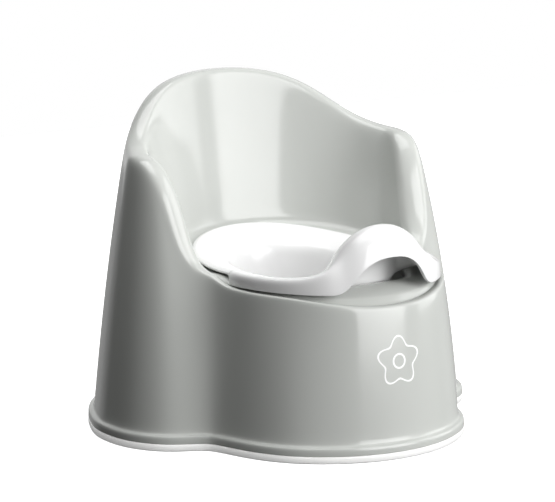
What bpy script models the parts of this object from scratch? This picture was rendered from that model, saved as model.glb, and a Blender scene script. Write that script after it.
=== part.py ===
"""Potty training chair: a moulded shell, the anti-slip strip under it and a lift-out potty.

The tables are in millimetres and the meshes in metres.  The chair faces -Y, up is +Z, and the
origin is the middle of the footprint on the floor.  Each shape is a smooth sheet: sections from
the front middle round to the back middle, mirrored, then thickened to the moulded wall.
"""
import math

import bmesh
import bpy
import numpy as np

MM = 0.001

# Walls and gaps
SHELL_WALL = 3.0
POTTY_WALL = 2.5
SEAT_GAP = 1.8
STRIP_GAP = 0.4

# Foot of the shell: a flange that steps out from the wall and sits on the strip
STRIP_HEIGHT = 6.5
STRIP_WIDTH = 11.0
STRIP_CHAMFER = 0.9
STRIP_TONGUE_HEIGHT = 10.5
STRIP_TONGUE_THICK = 2.4
FLANGE_TOP = 14.0
FLANGE_STEP = 4.8
FLANGE_ROUND = 4.0
WALL_FOOT_Z = 17.0

# The wall leans in by DRAFT_START + DRAFT_SLOPE * z + DRAFT_CURVE * z * z
DRAFT_START = 4.3
DRAFT_SLOPE = 0.076
DRAFT_CURVE = 0.000172

# How far the rounded rim's shoulders lie below its top, in rim widths
SHOULDER_DROP = 0.25

# Rear body of the footprint and inner foot of the backrest, both slightly squared ellipses
BODY_HALF_WIDTH = 186.3
BODY_HALF_DEPTH = 178.8
BODY_SQUARENESS = 2.03
CAVITY_HALF_WIDTH = 114.5
CAVITY_HALF_DEPTH = 107.0
CAVITY_SQUARENESS = 2.1
CAVITY_CENTRE_Y = -8.0

# Hole in the seat that the potty drops into
HOLE_HALF_WIDTH = 84.0
HOLE_HALF_DEPTH = 99.0
HOLE_CENTRE_Y = -22.0
HOLE_LIP = 9.0
HOLE_DROP = 3.5
INNER_FOOT_RISE = 2.0

# Edge of the potty's seat flange
FLANGE_HALF_WIDTH = 98.0
FLANGE_HALF_DEPTH = 127.0
FLANGE_CENTRE_Y = -36.0
FLANGE_SQUARENESS = 2.14
FLANGE_EDGE_DEPTH = 3.0
SKIRT_HALF_WIDTH = 101.5
SKIRT_HALF_DEPTH = 103.0
SKIRT_CENTRE_Y = -56.0
SKIRT_BOTTOM = 143.5

# Bowl: the crease under the seat flange, and the flat bottom
CREASE_HALF_WIDTH = 62.0
CREASE_HALF_DEPTH = 89.0
CREASE_CENTRE_Y = -27.0
CREASE_Z = 145.0
BOTTOM_HALF_WIDTH = 48.0
BOTTOM_HALF_DEPTH = 70.0
BOTTOM_CENTRE_Y = -25.0
BOTTOM_Z = 38.0

# Front of the shell: foot outline, top edge (x, y, z), width of that edge, foot of what rises
# inside it, height of the hole's edge.  Front lobe, then the groove, then the front of the arm.
FRONT_SECTIONS = (
    ((0, -178.5), (0, -156.5, 132), 11, (0, -144, 138.5), 147),
    ((33, -174.5), (29, -153.5, 132.5), 11, (27, -142, 138.5), 146.5),
    ((65, -161), (57.5, -141.5, 137), 9, (54, -134.5, 140), 144),
    ((96, -137.5), (81, -119, 141), 7, (75.5, -114, 141.5), 142.5),
    ((114, -106), (97, -91.5, 141.5), 7, (91.5, -88.5, 141.5), 143),
    ((122, -80), (103, -69, 142), 7, (97.5, -66, 141.5), 144),
    ((125.5, -68), (107.5, -55, 144.5), 7, (98.5, -51.5, 141.5), 144.5),
    ((129.5, -61.5), (111.5, -42.5, 152.5), 9, (104, -38, 148.5), 145.5),
    ((137.5, -56.5), (118, -31, 156.5), 18, (108, -27, 150.5), 146),
    ((147, -52), (124, -21, 176), 27, (111, -18, 151), 146),
    ((158, -46.5), (128, -11, 208), 27, (112.5, -12, 151.5), 146),
    ((170, -36), (132, 0, 231), 26, (113.5, -4, 152), 146.5),
    ((182.5, -15), (136, 12, 244.5), 25, (114, 5, 152), 147),
    ((186.5, 10), (138.5, 24, 249), 24, (114, 13, 152.5), 147),
    ((185, 38), (138, 36, 250.5), 23, (112, 20, 153.5), 147.5),
)

# Arm and backrest: angle round the body from +X, height of the rim, width of the rim
REAR_SECTIONS = (
    (19, 251.5, 22),
    (28, 255.5, 21),
    (38, 266.5, 20),
    (49, 284.5, 19),
    (61, 298, 18),
    (75, 305, 18),
    (90, 307, 18),
)

# Front of the potty: free edge, then the splash guard's section up to its crest and down inside
GUARD_SECTIONS = (
    ((0, -156.5, 174), (0, -155, 185), (0, -149, 196), (0, -139, 200.5), (0, -128, 199),
     (0, -120, 186)),
    ((16, -155.5, 173), (16, -154, 184), (16, -148, 194.5), (15, -138, 199), (14, -127, 197),
     (13, -119, 184)),
    ((32, -152.5, 163), (32.5, -151, 174), (32, -146, 186), (30, -136, 191.5), (27, -125, 190),
     (24, -116, 178)),
    ((43.5, -147, 143.5), (44.5, -146, 156), (45, -142, 170), (43, -133, 178), (38, -121, 177),
     (33, -110, 167)),
)


def inset(z):
    """How far the outer wall stands inside the foot outline at a height."""
    return DRAFT_START + DRAFT_SLOPE * z + DRAFT_CURVE * z * z


def flange_height(y):
    """Top of the potty's seat flange along its edge: level at the sides, rising to the back."""
    reach = (y - FLANGE_CENTRE_Y) / 100
    return 153.7 - 2.1 * reach + 9.5 * reach * reach


def seat_height(y):
    return flange_height(y) - POTTY_WALL - SEAT_GAP


def lerp(start, end, share):
    return np.asarray(start, float) + share * (np.asarray(end, float) - np.asarray(start, float))


def squared_ellipse(angle, half_width, half_depth, centre_y, squareness):
    """Point of an ellipse with fuller corners: a squareness of 2 gives the plain ellipse."""
    turn = math.radians(angle)
    x = max(math.cos(turn), 0) ** (2 / squareness)
    y = math.copysign(abs(math.sin(turn)) ** (2 / squareness), turn)
    return np.array([half_width * x, centre_y + half_depth * y])


def ellipse_towards(point, half_width, half_depth, centre_y):
    """Point of an ellipse in the direction of another point, seen from the ellipse's centre."""
    x, y = point[0], point[1] - centre_y
    scale = 1 / math.hypot(x / half_width, y / half_depth)
    return np.array([x * scale, centre_y + y * scale])


def mirrored(point):
    return np.array([-point[0], *point[1:]])


def unit(vector):
    return vector / np.linalg.norm(vector)


def tangents(points):
    """Direction along a half outline whose ends lie on the mirror plane."""
    points = [np.asarray(point, float) for point in points]
    closed = [mirrored(points[1]), *points, mirrored(points[-2])]
    return [unit(after - before) for before, after in zip(closed, closed[2:])]


# Smooth sheets

def spline_weights(t):
    return np.array([(1 - t) ** 3, 3 * t ** 3 - 6 * t ** 2 + 4, 3 * (t + t ** 2 - t ** 3) + 1, t ** 3]) / 6


def refine(cage, steps):
    """Uniform cubic spline along the first axis, with a number of steps to each span."""
    rows = [
        np.tensordot(spline_weights(step / steps), cage[span:span + 4], 1)
        for span in range(len(cage) - 3)
        for step in range(steps)
    ]
    rows.append(np.tensordot(spline_weights(1.0), cage[-4:], 1))
    return np.array(rows)


def smooth_sheet(sections, section_steps, row_steps):
    """Grid of points on the smooth surface over a half cage of sections."""
    cage = np.array(sections, float)
    flip = np.array([-1, 1, 1])
    cage = np.concatenate([cage[1:2] * flip, cage, cage[-2:-1] * flip])
    cage = refine(cage, section_steps).swapaxes(0, 1)
    cage = np.concatenate([2 * cage[:1] - cage[1:2], cage, 2 * cage[-1:] - cage[-2:-1]])
    return refine(cage, row_steps).swapaxes(0, 1)


def sheet_mesh(name, grid, closed_rows=False):
    """Mesh of a half sheet, welded where its rows run together."""
    sections, rows = grid.shape[:2]
    mesh = bpy.data.meshes.new(name)
    work = bmesh.new()
    verts = [[work.verts.new(point * MM) for point in section] for section in grid]
    for i in range(sections - 1):
        for j in range(rows if closed_rows else rows - 1):
            k = (j + 1) % rows
            work.faces.new((verts[i][j], verts[i + 1][j], verts[i + 1][k], verts[i][k]))
    bmesh.ops.remove_doubles(work, verts=work.verts, dist=1e-6)
    work.to_mesh(mesh)
    work.free()
    mesh.shade_smooth()
    return mesh


def add_part(name, mesh, material, collection, wall=0.0):
    """Mirror a half mesh and give it its wall thickness, measured inwards from the sheet."""
    part = bpy.data.objects.new(name, mesh)
    collection.objects.link(part)
    mesh.materials.append(material)
    mirror = part.modifiers.new("mirror", "MIRROR")
    mirror.merge_threshold = 0.00005
    if wall:
        solidify = part.modifiers.new("wall", "SOLIDIFY")
        solidify.thickness = wall * MM
        solidify.offset = -1
        solidify.use_even_offset = True
        solidify.use_quality_normals = True
    return part


def plastic(name, colour, roughness):
    material = bpy.data.materials.new(name)
    material.use_nodes = True
    shader = material.node_tree.nodes["Principled BSDF"]
    shader.inputs["Base Color"].default_value = (*colour, 1)
    shader.inputs["Roughness"].default_value = roughness
    shader.inputs["Metallic"].default_value = 0.0
    return material


# The chair shell

def rear_section(angle, rim_z, rim_width):
    """Foot, rim, rim width and inner foot of a section of the arm or backrest."""
    foot = squared_ellipse(angle, BODY_HALF_WIDTH, BODY_HALF_DEPTH, 0, BODY_SQUARENESS)
    inner = squared_ellipse(angle, CAVITY_HALF_WIDTH, CAVITY_HALF_DEPTH, CAVITY_CENTRE_Y, CAVITY_SQUARENESS)
    power = BODY_SQUARENESS - 1
    inward = -unit(np.array([(foot[0] / BODY_HALF_WIDTH) ** power / BODY_HALF_WIDTH,
                             (foot[1] / BODY_HALF_DEPTH) ** power / BODY_HALF_DEPTH]))
    rim = foot + inward * (inset(rim_z) + rim_width / 2)
    hole = ellipse_towards(inner, HOLE_HALF_WIDTH, HOLE_HALF_DEPTH, HOLE_CENTRE_Y)
    inner_foot = (*inner, seat_height(inner[1]) + INNER_FOOT_RISE)
    return foot, (*rim, rim_z), rim_width, inner_foot, seat_height(hole[1]) - HOLE_DROP


def seat_rows(inner, hole_z):
    """Rows from the inner foot across the seat, level with the potty's flange, and down the hole."""
    hole = ellipse_towards(inner, HOLE_HALF_WIDTH, HOLE_HALF_DEPTH, HOLE_CENTRE_Y)
    seat = lerp(inner[:2], hole, 0.35)
    if seat[1] > SKIRT_CENTRE_Y:
        seat_z = max(seat_height(seat[1]), hole_z)
    else:
        seat_z = lerp(inner[2], hole_z, 0.6)
    return [
        np.array([*seat, seat_z]),
        np.array([*hole, hole_z]),
        np.array([*hole, hole_z - HOLE_LIP]),
    ]


def shell_sections():
    outline = list(FRONT_SECTIONS) + [rear_section(*row) for row in REAR_SECTIONS]
    feet = [np.array(row[0], float) for row in outline]
    rims = [np.array(row[1], float) for row in outline]
    sections = []
    for index, (along_foot, along_rim) in enumerate(zip(tangents(feet), tangents(rims))):
        inward = np.array([-along_foot[1], along_foot[0]])
        side = unit(np.array([along_rim[1], -along_rim[0], 0]))
        upward = np.cross(side, along_rim)
        foot, rim, width = feet[index], rims[index], outline[index][2]
        inner = np.array(outline[index][3], float)

        def wall(z):
            return np.array([*(foot + inward * inset(z)), z])

        shoulder_out = rim + side * width / 2 - upward * width * SHOULDER_DROP
        shoulder_in = rim - side * width / 2 - upward * width * SHOULDER_DROP
        miss = shoulder_out - wall(shoulder_out[2])
        rows = [
            np.array([*foot, STRIP_HEIGHT + STRIP_GAP]),
            np.array([*foot, FLANGE_TOP - FLANGE_ROUND]),
            np.array([*(foot + inward * FLANGE_ROUND / 10), FLANGE_TOP]),
            np.array([*(foot + inward * FLANGE_STEP), FLANGE_TOP]),
            wall(WALL_FOOT_Z),
        ]
        for share in (0.12, 0.38, 0.66, 0.88):
            z = lerp(WALL_FOOT_Z, shoulder_out[2], share)
            rows.append(wall(z) + miss * share ** 2)
        rows += [
            shoulder_out,
            rim + side * width / 3,
            rim - side * width / 3,
            shoulder_in,
            lerp(shoulder_in, inner, 0.3),
            lerp(shoulder_in, inner, 0.8),
            inner,
        ]
        sections.append(rows + seat_rows(inner, outline[index][4]))
    return sections


# The potty

def flange_edge(angle):
    """Edge of the seat flange behind the skirt, at an angle from +X."""
    return squared_ellipse(angle, FLANGE_HALF_WIDTH, FLANGE_HALF_DEPTH, FLANGE_CENTRE_Y, FLANGE_SQUARENESS)


def skirt_edge(angle):
    return squared_ellipse(angle, SKIRT_HALF_WIDTH, SKIRT_HALF_DEPTH, SKIRT_CENTRE_Y, 2)


def bowl_rows(towards):
    """Rows from the crease down to the middle of the bowl's bottom."""
    crease = ellipse_towards(towards, CREASE_HALF_WIDTH, CREASE_HALF_DEPTH, CREASE_CENTRE_Y)
    bottom = ellipse_towards(towards, BOTTOM_HALF_WIDTH, BOTTOM_HALF_DEPTH, BOTTOM_CENTRE_Y)
    middle = np.array([0, BOTTOM_CENTRE_Y])
    return [
        np.array([*crease, CREASE_Z]),
        np.array([*lerp(crease, bottom, 0.1), CREASE_Z - 14]),
        np.array([*lerp(crease, bottom, 0.5), 0.5 * (CREASE_Z + BOTTOM_Z) - 8]),
        np.array([*bottom, BOTTOM_Z + 9]),
        np.array([*lerp(bottom, middle, 0.22), BOTTOM_Z]),
        np.array([*lerp(bottom, middle, 0.6), BOTTOM_Z]),
        np.array([*middle, BOTTOM_Z]),
    ]


def potty_sections():
    sections = []
    for rows in GUARD_SECTIONS:
        sections.append([np.array(row, float) for row in rows] + bowl_rows(rows[-1]))
    skirt_angles = (-56, -46, -33, -17, -5, 0, 2.5)
    crests = (164, 158, 155.5, 155, 155, 155, 155)
    for angle, crest in zip(skirt_angles, crests):
        edge = skirt_edge(angle)
        rows = edge_rows(edge, SKIRT_BOTTOM, crest)
        sections.append(rows + bowl_rows(edge))
    for angle in (-4.5, -2, 4, 16, 31, 46, 60, 75, 90):
        edge = flange_edge(angle)
        top = flange_height(edge[1])
        sections.append(edge_rows(edge, top - FLANGE_EDGE_DEPTH, top) + bowl_rows(edge))
    return sections


def edge_rows(edge, bottom, top):
    """Rows from the free edge up over the rounded edge and in across the flange."""
    crease = ellipse_towards(edge, CREASE_HALF_WIDTH, CREASE_HALF_DEPTH, CREASE_CENTRE_Y)
    inward = unit(crease - edge)
    return [
        np.array([*edge, bottom]),
        np.array([*edge, lerp(bottom, top, 0.5)]),
        np.array([*(edge + inward * 1.0), top - 1]),
        np.array([*(edge + inward * 5.0), top + 0.6]),
        np.array([*lerp(edge, crease, 0.35), lerp(top, CREASE_Z, 0.15)]),
        np.array([*lerp(edge, crease, 0.75), lerp(top, CREASE_Z, 0.6)]),
    ]


# The strip under the shell

def strip_sections():
    outline = [row[0] for row in FRONT_SECTIONS] + [rear_section(*row)[0] for row in REAR_SECTIONS]
    feet = [np.array(point, float) for point in outline]
    tongue = SHELL_WALL + 2 * STRIP_GAP
    profile = (
        (0, STRIP_CHAMFER), (0, STRIP_HEIGHT),
        (tongue, STRIP_HEIGHT), (tongue, STRIP_TONGUE_HEIGHT),
        (tongue + STRIP_TONGUE_THICK, STRIP_TONGUE_HEIGHT),
        (tongue + STRIP_TONGUE_THICK, STRIP_HEIGHT),
        (STRIP_WIDTH, STRIP_HEIGHT), (STRIP_WIDTH, 0), (STRIP_CHAMFER, 0),
    )
    sections = []
    for foot, along in zip(feet, tangents(feet)):
        inward = np.array([-along[1], along[0]])
        sections.append([np.array([*(foot + inward * depth), z]) for depth, z in profile])
    return sections


def strip_grid(steps):
    cage = np.array(strip_sections(), float)
    flip = np.array([-1, 1, 1])
    return refine(np.concatenate([cage[1:2] * flip, cage, cage[-2:-1] * flip]), steps)


def clear_objects():
    for item in list(bpy.data.objects):
        bpy.data.objects.remove(item, do_unlink=True)


def main():
    clear_objects()
    chair = bpy.data.collections.new("potty_training_chair")
    bpy.context.scene.collection.children.link(chair)
    grey = plastic("grey_plastic", (0.51, 0.52, 0.50), 0.15)
    white = plastic("white_plastic", (0.82, 0.82, 0.82), 0.15)
    rubber = plastic("white_rubber", (0.90, 0.90, 0.89), 0.5)
    add_part("chair_shell", sheet_mesh("chair_shell", smooth_sheet(shell_sections(), 2, 1)),
             grey, chair, SHELL_WALL)
    add_part("potty_insert", sheet_mesh("potty_insert", smooth_sheet(potty_sections(), 2, 1)),
             white, chair, POTTY_WALL)
    add_part("base_strip", sheet_mesh("base_strip", strip_grid(2), closed_rows=True), rubber, chair)


main()
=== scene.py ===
"""Looks of the potty training chair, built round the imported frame.

The tables and the surfaces are those of the design, in millimetres, drawn here with a finer mesh.
The chair faces -Y, up is +Z, and the origin is the middle of the footprint on the floor.
"""
import math

import bmesh
import bpy
import numpy as np
from mathutils import Matrix, Vector
from mathutils.bvhtree import BVHTree


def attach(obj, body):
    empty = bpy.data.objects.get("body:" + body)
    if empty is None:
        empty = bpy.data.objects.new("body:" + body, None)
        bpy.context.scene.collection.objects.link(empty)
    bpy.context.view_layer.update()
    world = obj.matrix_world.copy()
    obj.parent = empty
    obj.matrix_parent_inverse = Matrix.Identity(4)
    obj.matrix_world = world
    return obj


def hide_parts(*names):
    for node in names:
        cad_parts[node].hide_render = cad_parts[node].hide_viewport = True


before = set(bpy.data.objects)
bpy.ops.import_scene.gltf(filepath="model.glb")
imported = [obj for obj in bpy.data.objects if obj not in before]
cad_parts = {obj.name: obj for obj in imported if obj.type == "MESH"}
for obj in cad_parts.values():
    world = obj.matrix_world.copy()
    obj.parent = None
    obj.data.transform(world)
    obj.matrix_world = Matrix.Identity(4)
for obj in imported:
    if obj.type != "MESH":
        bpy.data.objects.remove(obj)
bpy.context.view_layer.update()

MM = 0.001

# Walls and gaps
SHELL_WALL = 3.0
POTTY_WALL = 2.5
SEAT_GAP = 1.8
STRIP_GAP = 0.4

# Foot of the shell: a flange that steps out from the wall and sits on the strip
STRIP_HEIGHT = 6.5
STRIP_WIDTH = 11.0
STRIP_CHAMFER = 0.9
STRIP_TONGUE_HEIGHT = 10.5
STRIP_TONGUE_THICK = 2.4
FLANGE_TOP = 14.0
FLANGE_STEP = 4.8
FLANGE_ROUND = 4.0
WALL_FOOT_Z = 17.0

# The wall leans in by DRAFT_START + DRAFT_SLOPE * z + DRAFT_CURVE * z * z
DRAFT_START = 4.3
DRAFT_SLOPE = 0.076
DRAFT_CURVE = 0.000172

# How far the rounded rim's shoulders lie below its top, in rim widths
SHOULDER_DROP = 0.25

# Rear body of the footprint and inner foot of the backrest, both slightly squared ellipses
BODY_HALF_WIDTH = 186.3
BODY_HALF_DEPTH = 178.8
BODY_SQUARENESS = 2.03
CAVITY_HALF_WIDTH = 114.5
CAVITY_HALF_DEPTH = 107.0
CAVITY_SQUARENESS = 2.1
CAVITY_CENTRE_Y = -8.0

# Hole in the seat that the potty drops into
HOLE_HALF_WIDTH = 84.0
HOLE_HALF_DEPTH = 99.0
HOLE_CENTRE_Y = -22.0
HOLE_LIP = 9.0
HOLE_DROP = 3.5
INNER_FOOT_RISE = 2.0

# Rows of the shell's cage: shares of the way up the outer wall and down the inner one, the share of
# the way in across the seat, and how much of the fall to the hole the front lobe has made there
WALL_SHARES = (0.12, 0.38, 0.66, 0.88)
INNER_WALL_SHARES = (0.3, 0.8)
SEAT_SHARE = 0.35
FRONT_FALL_SHARE = 0.6

# Edge of the potty's seat flange
FLANGE_HALF_WIDTH = 98.0
FLANGE_HALF_DEPTH = 127.0
FLANGE_CENTRE_Y = -36.0
FLANGE_SQUARENESS = 2.14
FLANGE_EDGE_DEPTH = 3.0
SKIRT_HALF_WIDTH = 101.5
SKIRT_HALF_DEPTH = 103.0
SKIRT_CENTRE_Y = -56.0
SKIRT_BOTTOM = 143.5

# Top of the flange along its edge, as a curve in y measured from its centre, in hundreds of mm
FLANGE_MIDDLE_Z = 153.7
FLANGE_TILT = -2.1
FLANGE_SWEEP = 9.5

# Edge of the flange: its rounding, then a crowned lip, then the fall to the bowl's crease, as shares
# of the way in and of the way down
LIP_ROUND = 1.0
LIP_WIDTH = 5.0
LIP_CROWN = 0.6
FLANGE_FALL = ((0.35, 0.15), (0.75, 0.6))

# Bowl: the crease under the seat flange, and the flat bottom
CREASE_HALF_WIDTH = 62.0
CREASE_HALF_DEPTH = 89.0
CREASE_CENTRE_Y = -27.0
CREASE_Z = 145.0
BOTTOM_HALF_WIDTH = 48.0
BOTTOM_HALF_DEPTH = 70.0
BOTTOM_CENTRE_Y = -25.0
BOTTOM_Z = 38.0

# Bowl wall: share of the way in from the crease to the bottom, and height.  Then the rows of the
# flat bottom, as shares of the way in to its middle
BOWL_WALL = (
    (0, CREASE_Z),
    (0.1, CREASE_Z - 14),
    (0.5, 0.5 * (CREASE_Z + BOTTOM_Z) - 8),
    (1, BOTTOM_Z + 9),
)
BOTTOM_SHARES = (0.22, 0.6, 1)

# Front of the shell: foot outline, top edge (x, y, z), width of that edge, foot of what rises
# inside it, height of the hole's edge.  Front lobe, then the groove, then the front of the arm.
FRONT_SECTIONS = (
    ((0, -178.5), (0, -156.5, 132), 11, (0, -144, 138.5), 147),
    ((33, -174.5), (29, -153.5, 132.5), 11, (27, -142, 138.5), 146.5),
    ((65, -161), (57.5, -141.5, 137), 9, (54, -134.5, 140), 144),
    ((96, -137.5), (81, -119, 141), 7, (75.5, -114, 141.5), 142.5),
    ((114, -106), (97, -91.5, 141.5), 7, (91.5, -88.5, 141.5), 143),
    ((122, -80), (103, -69, 142), 7, (97.5, -66, 141.5), 144),
    ((125.5, -68), (107.5, -55, 144.5), 7, (98.5, -51.5, 141.5), 144.5),
    ((129.5, -61.5), (111.5, -42.5, 152.5), 9, (104, -38, 148.5), 145.5),
    ((137.5, -56.5), (118, -31, 156.5), 18, (108, -27, 150.5), 146),
    ((147, -52), (124, -21, 176), 27, (111, -18, 151), 146),
    ((158, -46.5), (128, -11, 208), 27, (112.5, -12, 151.5), 146),
    ((170, -36), (132, 0, 231), 26, (113.5, -4, 152), 146.5),
    ((182.5, -15), (136, 12, 244.5), 25, (114, 5, 152), 147),
    ((186.5, 10), (138.5, 24, 249), 24, (114, 13, 152.5), 147),
    ((185, 38), (138, 36, 250.5), 23, (112, 20, 153.5), 147.5),
)

# Arm and backrest: angle round the body from +X, height of the rim, width of the rim
REAR_SECTIONS = (
    (19, 251.5, 22),
    (28, 255.5, 21),
    (38, 266.5, 20),
    (49, 284.5, 19),
    (61, 298, 18),
    (75, 305, 18),
    (90, 307, 18),
)

# Front of the potty: free edge, then the splash guard's section up to its crest and down inside
GUARD_SECTIONS = (
    ((0, -156.5, 174), (0, -155, 185), (0, -149, 196), (0, -139, 200.5), (0, -128, 199),
     (0, -120, 186)),
    ((16, -155.5, 173), (16, -154, 184), (16, -148, 194.5), (15, -138, 199), (14, -127, 197),
     (13, -119, 184)),
    ((32, -152.5, 163), (32.5, -151, 174), (32, -146, 186), (30, -136, 191.5), (27, -125, 190),
     (24, -116, 178)),
    ((43.5, -147, 143.5), (44.5, -146, 156), (45, -142, 170), (43, -133, 178), (38, -121, 177),
     (33, -110, 167)),
)

# Skirt at the front of the potty: angle round it from +X, and height of its crest
SKIRT_SECTIONS = ((-56, 164), (-46, 158), (-33, 155.5), (-17, 155), (-5, 155), (0, 155), (2.5, 155))

# Angles round the flange from where the skirt ends to the middle of the back
FLANGE_ANGLES = (-4.5, -2, 4, 16, 31, 46, 60, 75, 90)

# Fineness of the visible meshes
SECTION_STEPS = 8
ROW_STEPS = 5
EDGE_ROUNDING = 0.7
EDGE_SEGMENTS = 3
EDGE_ANGLE = 50
MERGE_DISTANCE = 0.05

# Plastic: its index, clouding and gloss patches in waves to the metre, the range of the noise that
# is spread over a value, and the depth of the mould's peel in metres
PLASTIC_IOR = 1.49
CLOUD_SCALE = 14.0
GLOSS_SCALE = 60.0
NOISE_RANGE = (0.3, 0.7)
PEEL_DEPTH = 0.0002

# Printed mark on the front wall: a plain rounded star with a ring in it, and the ink's thickness
MARK_CENTRE_Z = 84.0
MARK_RADIUS = 18.5
MARK_WAVE = 3.2
MARK_RING_RADIUS = 6.0
MARK_LINE = 1.7
MARK_POINTS = 5
MARK_STEPS = 240
INK_RISE = 0.12
INK_DEPTH = 0.10

# Camera, in metres and degrees: where it looks from, how far away, its lens and sensor in
# millimetres, and the point it is centred on
CAMERA_AZIMUTH = -34.0
CAMERA_ELEVATION = 11.0
CAMERA_DISTANCE = 2.7027
CAMERA_LENS = 194.6
CAMERA_SENSOR = 36
CAMERA_CLIP = 20
CAMERA_HEIGHT = 0.170
CAMERA_SIDESTEP = -0.01228
CAMERA_LIFT = -0.01596

# Studio: a wide soft panel off the chair's front, weaker ones off its side and rear, a soft panel
# overhead, low panels for the light that the floor throws on the strip, a dim room and a backdrop.
# Azimuths are degrees round the chair from straight in front of it; places and sizes are in metres.
FLOOR_HALF_SIZE = 1.6
FLOOR_WHITE = 0.92
FLOOR_ROUGHNESS = 0.9
FLOOR_GLOW = 0.72
PANEL_DISTANCE = 1.9
PANEL_HEIGHT = 0.75
PANEL_AIM = (0, 0, 0.17)
KEY_AZIMUTH = 18
KEY_SIZE = (1.7, 1.6)
KEY_POWER = 47
SIDE_AZIMUTH = 72
SIDE_SIZE = (1.2, 1.6)
SIDE_POWER = 15
REAR_AZIMUTH = 165
REAR_SIZE = (1.7, 1.6)
REAR_POWER = 4
TOP_PLACE = (0, 0.1, 1.9)
TOP_SIZE = (1.6, 1.6)
TOP_POWER = 28
BOUNCE_AZIMUTHS = (-100, -45, 180)
BOUNCE_DISTANCE = 1.0
BOUNCE_HEIGHT = 0.3
BOUNCE_SIZE = (0.8, 0.5)
BOUNCE_POWER = 2.2
DIM = 0.075
BACKDROP_AZIMUTH = 146
BACKDROP_EDGE = 0.5
BACKDROP_FADE = 0.25
BACKDROP_LIGHT = 0.4


def inset(z):
    """How far the outer wall stands inside the foot outline at a height."""
    return DRAFT_START + DRAFT_SLOPE * z + DRAFT_CURVE * z * z


def flange_height(y):
    """Top of the potty's seat flange along its edge: lowest at the sides, higher at the back."""
    reach = (y - FLANGE_CENTRE_Y) / 100
    return FLANGE_MIDDLE_Z + FLANGE_TILT * reach + FLANGE_SWEEP * reach * reach


def seat_height(y):
    return flange_height(y) - POTTY_WALL - SEAT_GAP


def lerp(start, end, share):
    return np.asarray(start, float) + share * (np.asarray(end, float) - np.asarray(start, float))


def squared_ellipse(angle, half_width, half_depth, centre_y, squareness):
    """Point of an ellipse with fuller corners: a squareness of 2 gives the plain ellipse."""
    turn = math.radians(angle)
    x = max(math.cos(turn), 0) ** (2 / squareness)
    y = math.copysign(abs(math.sin(turn)) ** (2 / squareness), turn)
    return np.array([half_width * x, centre_y + half_depth * y])


def ellipse_towards(point, half_width, half_depth, centre_y):
    """Point of an ellipse in the direction of another point, seen from the ellipse's centre."""
    x, y = point[0], point[1] - centre_y
    scale = 1 / math.hypot(x / half_width, y / half_depth)
    return np.array([x * scale, centre_y + y * scale])


def mirrored(point):
    return np.array([-point[0], *point[1:]])


def unit(vector):
    return vector / np.linalg.norm(vector)


def tangents(points):
    """Direction along a half outline whose ends lie on the mirror plane."""
    points = [np.asarray(point, float) for point in points]
    closed = [mirrored(points[1]), *points, mirrored(points[-2])]
    return [unit(after - before) for before, after in zip(closed, closed[2:])]


# Smooth sheets

def spline_weights(t):
    return np.array([(1 - t) ** 3, 3 * t ** 3 - 6 * t ** 2 + 4, 3 * (t + t ** 2 - t ** 3) + 1, t ** 3]) / 6


def refine(cage, steps):
    """Uniform cubic spline along the first axis, with a number of steps to each span."""
    rows = [
        np.tensordot(spline_weights(step / steps), cage[span:span + 4], 1)
        for span in range(len(cage) - 3)
        for step in range(steps)
    ]
    rows.append(np.tensordot(spline_weights(1.0), cage[-4:], 1))
    return np.array(rows)


def smooth_sheet(sections, section_steps, row_steps):
    """Grid of points on the smooth surface over a half cage of sections."""
    cage = np.array(sections, float)
    flip = np.array([-1, 1, 1])
    cage = np.concatenate([cage[1:2] * flip, cage, cage[-2:-1] * flip])
    cage = refine(cage, section_steps).swapaxes(0, 1)
    cage = np.concatenate([2 * cage[:1] - cage[1:2], cage, 2 * cage[-1:] - cage[-2:-1]])
    return refine(cage, row_steps).swapaxes(0, 1)


def sheet_mesh(name, grid, closed_rows=False):
    """Mesh of a half sheet, welded where its rows run together."""
    sections, rows = grid.shape[:2]
    mesh = bpy.data.meshes.new(name)
    work = bmesh.new()
    verts = [[work.verts.new(point * MM) for point in section] for section in grid]
    for i in range(sections - 1):
        for j in range(rows if closed_rows else rows - 1):
            k = (j + 1) % rows
            work.faces.new((verts[i][j], verts[i + 1][j], verts[i + 1][k], verts[i][k]))
    bmesh.ops.remove_doubles(work, verts=work.verts, dist=1e-6)
    work.to_mesh(mesh)
    work.free()
    mesh.shade_smooth()
    return mesh


# The chair shell

def rear_section(angle, rim_z, rim_width):
    """Foot, rim, rim width and inner foot of a section of the arm or backrest."""
    foot = squared_ellipse(angle, BODY_HALF_WIDTH, BODY_HALF_DEPTH, 0, BODY_SQUARENESS)
    inner = squared_ellipse(angle, CAVITY_HALF_WIDTH, CAVITY_HALF_DEPTH, CAVITY_CENTRE_Y, CAVITY_SQUARENESS)
    power = BODY_SQUARENESS - 1
    inward = -unit(np.array([(foot[0] / BODY_HALF_WIDTH) ** power / BODY_HALF_WIDTH,
                             (foot[1] / BODY_HALF_DEPTH) ** power / BODY_HALF_DEPTH]))
    rim = foot + inward * (inset(rim_z) + rim_width / 2)
    hole = ellipse_towards(inner, HOLE_HALF_WIDTH, HOLE_HALF_DEPTH, HOLE_CENTRE_Y)
    inner_foot = (*inner, seat_height(inner[1]) + INNER_FOOT_RISE)
    return foot, (*rim, rim_z), rim_width, inner_foot, seat_height(hole[1]) - HOLE_DROP


def seat_rows(inner, hole_z):
    """Rows from the inner foot across the seat, level with the potty's flange, and down the hole."""
    hole = ellipse_towards(inner, HOLE_HALF_WIDTH, HOLE_HALF_DEPTH, HOLE_CENTRE_Y)
    seat = lerp(inner[:2], hole, SEAT_SHARE)
    if seat[1] > SKIRT_CENTRE_Y:
        seat_z = max(seat_height(seat[1]), hole_z)
    else:
        seat_z = lerp(inner[2], hole_z, FRONT_FALL_SHARE)
    return [
        np.array([*seat, seat_z]),
        np.array([*hole, hole_z]),
        np.array([*hole, hole_z - HOLE_LIP]),
    ]


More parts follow.
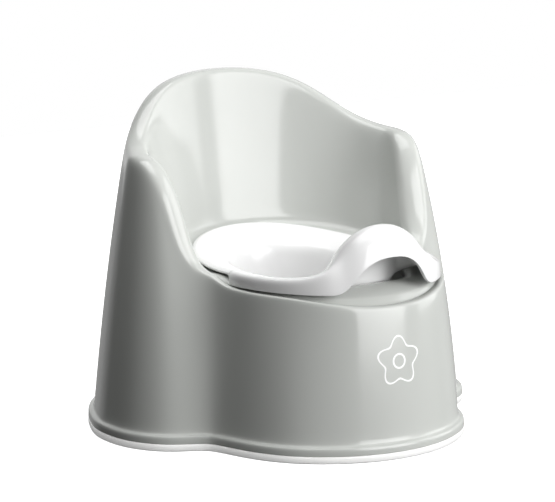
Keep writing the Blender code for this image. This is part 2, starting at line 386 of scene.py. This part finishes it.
def shell_sections():
    outline = list(FRONT_SECTIONS) + [rear_section(*row) for row in REAR_SECTIONS]
    feet = [np.array(row[0], float) for row in outline]
    rims = [np.array(row[1], float) for row in outline]
    sections = []
    for index, (along_foot, along_rim) in enumerate(zip(tangents(feet), tangents(rims))):
        inward = np.array([-along_foot[1], along_foot[0]])
        side = unit(np.array([along_rim[1], -along_rim[0], 0]))
        upward = np.cross(side, along_rim)
        foot, rim, width = feet[index], rims[index], outline[index][2]
        inner = np.array(outline[index][3], float)

        def wall(z):
            return np.array([*(foot + inward * inset(z)), z])

        shoulder_out = rim + side * width / 2 - upward * width * SHOULDER_DROP
        shoulder_in = rim - side * width / 2 - upward * width * SHOULDER_DROP
        miss = shoulder_out - wall(shoulder_out[2])
        rows = [
            np.array([*foot, STRIP_HEIGHT + STRIP_GAP]),
            np.array([*foot, FLANGE_TOP - FLANGE_ROUND]),
            np.array([*(foot + inward * FLANGE_ROUND / 10), FLANGE_TOP]),
            np.array([*(foot + inward * FLANGE_STEP), FLANGE_TOP]),
            wall(WALL_FOOT_Z),
        ]
        for share in WALL_SHARES:
            z = lerp(WALL_FOOT_Z, shoulder_out[2], share)
            rows.append(wall(z) + miss * share ** 2)
        rows += [
            shoulder_out,
            rim + side * width / 3,
            rim - side * width / 3,
            shoulder_in,
            *(lerp(shoulder_in, inner, share) for share in INNER_WALL_SHARES),
            inner,
        ]
        sections.append(rows + seat_rows(inner, outline[index][4]))
    return sections


# The potty

def flange_edge(angle):
    """Edge of the seat flange behind the skirt, at an angle from +X."""
    return squared_ellipse(angle, FLANGE_HALF_WIDTH, FLANGE_HALF_DEPTH, FLANGE_CENTRE_Y, FLANGE_SQUARENESS)


def skirt_edge(angle):
    return squared_ellipse(angle, SKIRT_HALF_WIDTH, SKIRT_HALF_DEPTH, SKIRT_CENTRE_Y, 2)


def bowl_rows(towards):
    """Rows from the crease down to the middle of the bowl's bottom."""
    crease = ellipse_towards(towards, CREASE_HALF_WIDTH, CREASE_HALF_DEPTH, CREASE_CENTRE_Y)
    bottom = ellipse_towards(towards, BOTTOM_HALF_WIDTH, BOTTOM_HALF_DEPTH, BOTTOM_CENTRE_Y)
    middle = np.array([0, BOTTOM_CENTRE_Y])
    wall = [np.array([*lerp(crease, bottom, share), z]) for share, z in BOWL_WALL]
    floor = [np.array([*lerp(bottom, middle, share), BOTTOM_Z]) for share in BOTTOM_SHARES]
    return wall + floor


def potty_sections():
    sections = []
    for rows in GUARD_SECTIONS:
        sections.append([np.array(row, float) for row in rows] + bowl_rows(rows[-1]))
    for angle, crest in SKIRT_SECTIONS:
        edge = skirt_edge(angle)
        rows = edge_rows(edge, SKIRT_BOTTOM, crest)
        sections.append(rows + bowl_rows(edge))
    for angle in FLANGE_ANGLES:
        edge = flange_edge(angle)
        top = flange_height(edge[1])
        sections.append(edge_rows(edge, top - FLANGE_EDGE_DEPTH, top) + bowl_rows(edge))
    return sections


def edge_rows(edge, bottom, top):
    """Rows from the free edge up over the rounded edge and in across the flange."""
    crease = ellipse_towards(edge, CREASE_HALF_WIDTH, CREASE_HALF_DEPTH, CREASE_CENTRE_Y)
    inward = unit(crease - edge)
    rows = [
        np.array([*edge, bottom]),
        np.array([*edge, lerp(bottom, top, 0.5)]),
        np.array([*(edge + inward * LIP_ROUND), top - LIP_ROUND]),
        np.array([*(edge + inward * LIP_WIDTH), top + LIP_CROWN]),
    ]
    for across, down in FLANGE_FALL:
        rows.append(np.array([*lerp(edge, crease, across), lerp(top, CREASE_Z, down)]))
    return rows


# The strip under the shell

def strip_sections():
    outline = [row[0] for row in FRONT_SECTIONS] + [rear_section(*row)[0] for row in REAR_SECTIONS]
    feet = [np.array(point, float) for point in outline]
    tongue = SHELL_WALL + 2 * STRIP_GAP
    profile = (
        (0, STRIP_CHAMFER), (0, STRIP_HEIGHT),
        (tongue, STRIP_HEIGHT), (tongue, STRIP_TONGUE_HEIGHT),
        (tongue + STRIP_TONGUE_THICK, STRIP_TONGUE_HEIGHT),
        (tongue + STRIP_TONGUE_THICK, STRIP_HEIGHT),
        (STRIP_WIDTH, STRIP_HEIGHT), (STRIP_WIDTH, 0), (STRIP_CHAMFER, 0),
    )
    sections = []
    for foot, along in zip(feet, tangents(feet)):
        inward = np.array([-along[1], along[0]])
        sections.append([np.array([*(foot + inward * depth), z]) for depth, z in profile])
    return sections


def strip_grid(steps):
    cage = np.array(strip_sections(), float)
    flip = np.array([-1, 1, 1])
    return refine(np.concatenate([cage[1:2] * flip, cage, cage[-2:-1] * flip]), steps)


def add_piece(name, mesh, material, body, node, wall=0.0):
    """Mirror a half mesh, give it its wall and round its free edges; it stands for a CAD node."""
    piece = bpy.data.objects.new(name, mesh)
    bpy.context.scene.collection.objects.link(piece)
    mesh.materials.append(material)
    mirror = piece.modifiers.new("mirror", "MIRROR")
    mirror.merge_threshold = MERGE_DISTANCE * MM
    if wall:
        solidify = piece.modifiers.new("wall", "SOLIDIFY")
        solidify.thickness = wall * MM
        solidify.offset = -1
        solidify.use_even_offset = True
        solidify.use_quality_normals = True
    bevel = piece.modifiers.new("rounded_edges", "BEVEL")
    bevel.width = EDGE_ROUNDING * MM
    bevel.segments = EDGE_SEGMENTS
    bevel.limit_method = "ANGLE"
    bevel.angle_limit = math.radians(EDGE_ANGLE)
    bevel.use_clamp_overlap = True
    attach(piece, body)
    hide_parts(node)
    return piece


# Materials

def add_node(tree, kind, **settings):
    node = tree.nodes.new(kind)
    for key, value in settings.items():
        setattr(node, key, value)
    return node


def noise(tree, scale, detail=3.0, roughness=0.5):
    """Noise in the object's own coordinates; scale is in waves to the metre."""
    coordinates = add_node(tree, "ShaderNodeTexCoord")
    texture = add_node(tree, "ShaderNodeTexNoise")
    texture.inputs["Scale"].default_value = scale
    texture.inputs["Detail"].default_value = detail
    texture.inputs["Roughness"].default_value = roughness
    tree.links.new(coordinates.outputs["Object"], texture.inputs["Vector"])
    return texture.outputs["Fac"]


def spread(tree, value, low, high):
    """Map a noise to the range from low to high."""
    node = add_node(tree, "ShaderNodeMapRange")
    node.inputs["From Min"].default_value = NOISE_RANGE[0]
    node.inputs["From Max"].default_value = NOISE_RANGE[1]
    node.inputs["To Min"].default_value = low
    node.inputs["To Max"].default_value = high
    tree.links.new(value, node.inputs["Value"])
    return node.outputs["Result"]


def tint(tree, value, dark, light):
    node = add_node(tree, "ShaderNodeMix", data_type="RGBA")
    node.inputs["A"].default_value = (*dark, 1)
    node.inputs["B"].default_value = (*light, 1)
    tree.links.new(value, node.inputs["Factor"])
    return node.outputs["Result"]


def moulded(name, dark, light, roughness, peel, peel_scale=420.0):
    """Moulded plastic: faint flow clouding, uneven gloss, and the fine peel of a polished mould."""
    material = bpy.data.materials.new(name)
    material.use_nodes = True
    tree = material.node_tree
    shader = tree.nodes["Principled BSDF"]
    shader.inputs["IOR"].default_value = PLASTIC_IOR
    clouds = noise(tree, CLOUD_SCALE)
    tree.links.new(tint(tree, clouds, dark, light), shader.inputs["Base Color"])
    gloss = noise(tree, GLOSS_SCALE, detail=4.0)
    tree.links.new(spread(tree, gloss, *roughness), shader.inputs["Roughness"])
    bump = add_node(tree, "ShaderNodeBump")
    bump.inputs["Strength"].default_value = peel
    bump.inputs["Distance"].default_value = PEEL_DEPTH
    tree.links.new(noise(tree, peel_scale, detail=2.0), bump.inputs["Height"])
    tree.links.new(bump.outputs["Normal"], shader.inputs["Normal"])
    return material


# The printed mark

def round_mark(turn, radius):
    """A point of the front's plane, at a radius from the mark's middle."""
    return radius * math.sin(turn), MARK_CENTRE_Z + radius * math.cos(turn)


def star_point(turn, offset):
    """A point of the star's outline, at an offset from its middle line."""
    return round_mark(turn, MARK_RADIUS + MARK_WAVE * math.cos(MARK_POINTS * turn) + offset)


def ring_point(turn, offset):
    """A point of the ring's outline, at an offset from its middle line."""
    return round_mark(turn, MARK_RING_RADIUS + offset)


def on_wall(wall, x, z, rise):
    """The point of the front wall behind (x, z), lifted off it along its normal."""
    hit, normal = wall.ray_cast(Vector((x * MM, -1, z * MM)), Vector((0, 1, 0)))[:2]
    return hit + normal * rise * MM if normal.y < 0 else hit - normal * rise * MM


def ink_loop(work, wall, outline, half_line):
    """A closed band of ink that follows the wall."""
    corners = (
        (-half_line, INK_RISE), (half_line, INK_RISE),
        (half_line, -INK_DEPTH), (-half_line, -INK_DEPTH),
    )
    rings = []
    for step in range(MARK_STEPS):
        turn = 2 * math.pi * step / MARK_STEPS
        points = [on_wall(wall, *outline(turn, offset), rise) for offset, rise in corners]
        rings.append([work.verts.new(point) for point in points])
    for ring, after in zip(rings, rings[1:] + rings[:1]):
        for k in range(len(ring)):
            following = (k + 1) % len(ring)
            work.faces.new((ring[k], after[k], after[following], ring[following]))


def printed_mark(shell, material):
    """The ink of the star and its ring, as one thin mesh on the shell's front wall."""
    wall = BVHTree.FromObject(shell, bpy.context.evaluated_depsgraph_get())
    mesh = bpy.data.meshes.new("printed_mark")
    work = bmesh.new()
    ink_loop(work, wall, star_point, MARK_LINE / 2)
    ink_loop(work, wall, ring_point, MARK_LINE / 2)
    bmesh.ops.recalc_face_normals(work, faces=work.faces)
    work.to_mesh(mesh)
    work.free()
    mark = bpy.data.objects.new("printed_mark", mesh)
    bpy.context.scene.collection.objects.link(mark)
    mesh.materials.append(material)
    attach(mark, "chair")


# Floor, light and camera

def camera_axes():
    """Right, up and forward of the camera."""
    turn, tilt = math.radians(CAMERA_AZIMUTH), math.radians(CAMERA_ELEVATION)
    right = Vector((math.cos(turn), math.sin(turn), 0))
    forward = Vector((-math.sin(turn) * math.cos(tilt), math.cos(turn) * math.cos(tilt), -math.sin(tilt)))
    return right, right.cross(forward), forward


def add_camera():
    right, up, forward = camera_axes()
    camera = bpy.data.objects.new("camera", bpy.data.cameras.new("camera"))
    bpy.context.scene.collection.objects.link(camera)
    camera.data.sensor_width = CAMERA_SENSOR
    camera.data.lens = CAMERA_LENS
    camera.data.clip_end = CAMERA_CLIP
    centre = Vector((0, 0, CAMERA_HEIGHT)) + CAMERA_SIDESTEP * right + CAMERA_LIFT * up
    camera.matrix_world = Matrix((right, up, -forward)).transposed().to_4x4()
    camera.location = centre - CAMERA_DISTANCE * forward
    bpy.context.scene.camera = camera


def add_light(name, place, target, size, power, only=None):
    """A soft panel that faces a point, unseen by the camera; given a piece, it lights only that."""
    light = bpy.data.lights.new(name, "AREA")
    light.shape = "RECTANGLE"
    light.size, light.size_y = size
    light.energy = power
    lamp = bpy.data.objects.new(name, light)
    bpy.context.scene.collection.objects.link(lamp)
    lamp.location = place
    lamp.rotation_euler = (Vector(target) - Vector(place)).to_track_quat("-Z", "Y").to_euler()
    lamp.visible_camera = False
    if only:
        lit = bpy.data.collections.new(name + "_lights")
        lit.objects.link(only)
        lamp.light_linking.receiver_collection = lit


def around(azimuth, distance=PANEL_DISTANCE, height=PANEL_HEIGHT):
    """A place round the chair: azimuth 0 is straight in front of it, and 90 is off its +X side."""
    turn = math.radians(azimuth)
    return Vector((distance * math.sin(turn), -distance * math.cos(turn), height))


def add_floor():
    """A glowing white floor that the camera sees; it isn't reflected in the chair and doesn't light it."""
    mesh = bpy.data.meshes.new("floor")
    work = bmesh.new()
    bmesh.ops.create_grid(work, x_segments=1, y_segments=1, size=FLOOR_HALF_SIZE)
    work.to_mesh(mesh)
    work.free()
    floor = bpy.data.objects.new("floor", mesh)
    bpy.context.scene.collection.objects.link(floor)
    material = bpy.data.materials.new("pale_floor")
    material.use_nodes = True
    shader = material.node_tree.nodes["Principled BSDF"]
    shader.inputs["Base Color"].default_value = (FLOOR_WHITE, FLOOR_WHITE, FLOOR_WHITE, 1)
    shader.inputs["Roughness"].default_value = FLOOR_ROUGHNESS
    shader.inputs["Emission Color"].default_value = (1, 1, 1, 1)
    shader.inputs["Emission Strength"].default_value = FLOOR_GLOW
    mesh.materials.append(material)
    floor.visible_diffuse = False
    floor.visible_glossy = False


def add_world():
    """A dim studio with a white backdrop behind the chair, and white wherever it is seen directly."""
    world = bpy.data.worlds.new("studio")
    bpy.context.scene.world = world
    world.use_nodes = True
    tree = world.node_tree
    background = tree.nodes["Background"]
    background.inputs["Color"].default_value = (1, 1, 1, 1)
    direction = add_node(tree, "ShaderNodeTexCoord")
    facing = add_node(tree, "ShaderNodeVectorMath", operation="DOT_PRODUCT")
    facing.inputs[1].default_value = around(BACKDROP_AZIMUTH, 1, 0)
    tree.links.new(direction.outputs["Generated"], facing.inputs[0])
    fade = add_node(tree, "ShaderNodeMapRange", interpolation_type="SMOOTHSTEP")
    fade.inputs["From Min"].default_value = BACKDROP_EDGE
    fade.inputs["From Max"].default_value = BACKDROP_EDGE + BACKDROP_FADE
    fade.inputs["To Min"].default_value = DIM
    fade.inputs["To Max"].default_value = BACKDROP_LIGHT
    tree.links.new(facing.outputs["Value"], fade.inputs["Value"])
    path = add_node(tree, "ShaderNodeLightPath")
    seen = add_node(tree, "ShaderNodeMath", operation="MAXIMUM")
    tree.links.new(fade.outputs["Result"], seen.inputs[0])
    tree.links.new(path.outputs["Is Camera Ray"], seen.inputs[1])
    tree.links.new(seen.outputs["Value"], background.inputs["Strength"])


def sheet_piece(name, sections, material, body, wall):
    """The visible skin of a CAD node that is a smooth sheet with a wall."""
    grid = smooth_sheet(sections, SECTION_STEPS, ROW_STEPS)
    return add_piece(name + "_skin", sheet_mesh(name + "_skin", grid), material, body, name, wall)


grey = moulded("grey_plastic", (0.498, 0.512, 0.490), (0.515, 0.529, 0.507), (0.12, 0.17), 0.03)
white = moulded("white_plastic", (0.80, 0.80, 0.80), (0.82, 0.82, 0.82), (0.12, 0.18), 0.03)
rubber = moulded("white_rubber", (0.88, 0.88, 0.87), (0.92, 0.92, 0.91), (0.45, 0.60), 0.25, 1500.0)
ink = moulded("white_ink", (0.86, 0.86, 0.86), (0.90, 0.90, 0.90), (0.30, 0.40), 0.1, 2500.0)

shell = sheet_piece("chair_shell", shell_sections(), grey, "chair", SHELL_WALL)
potty = sheet_piece("potty_insert", potty_sections(), white, "potty", POTTY_WALL)
strip_mesh = sheet_mesh("base_strip_skin", strip_grid(SECTION_STEPS), closed_rows=True)
strip = add_piece("base_strip_skin", strip_mesh, rubber, "chair", "base_strip")
printed_mark(shell, ink)

add_floor()
add_world()
add_light("key", around(KEY_AZIMUTH), PANEL_AIM, KEY_SIZE, KEY_POWER)
add_light("side", around(SIDE_AZIMUTH), PANEL_AIM, SIDE_SIZE, SIDE_POWER)
add_light("rear", around(REAR_AZIMUTH), PANEL_AIM, REAR_SIZE, REAR_POWER)
add_light("top", TOP_PLACE, (0, 0, 0), TOP_SIZE, TOP_POWER)
for azimuth in BOUNCE_AZIMUTHS:
    place = around(azimuth, BOUNCE_DISTANCE, BOUNCE_HEIGHT)
    add_light(f"bounce_{azimuth}", place, (0, 0, 0), BOUNCE_SIZE, BOUNCE_POWER, strip)
add_camera()
bpy.context.scene.view_settings.view_transform = "Standard"
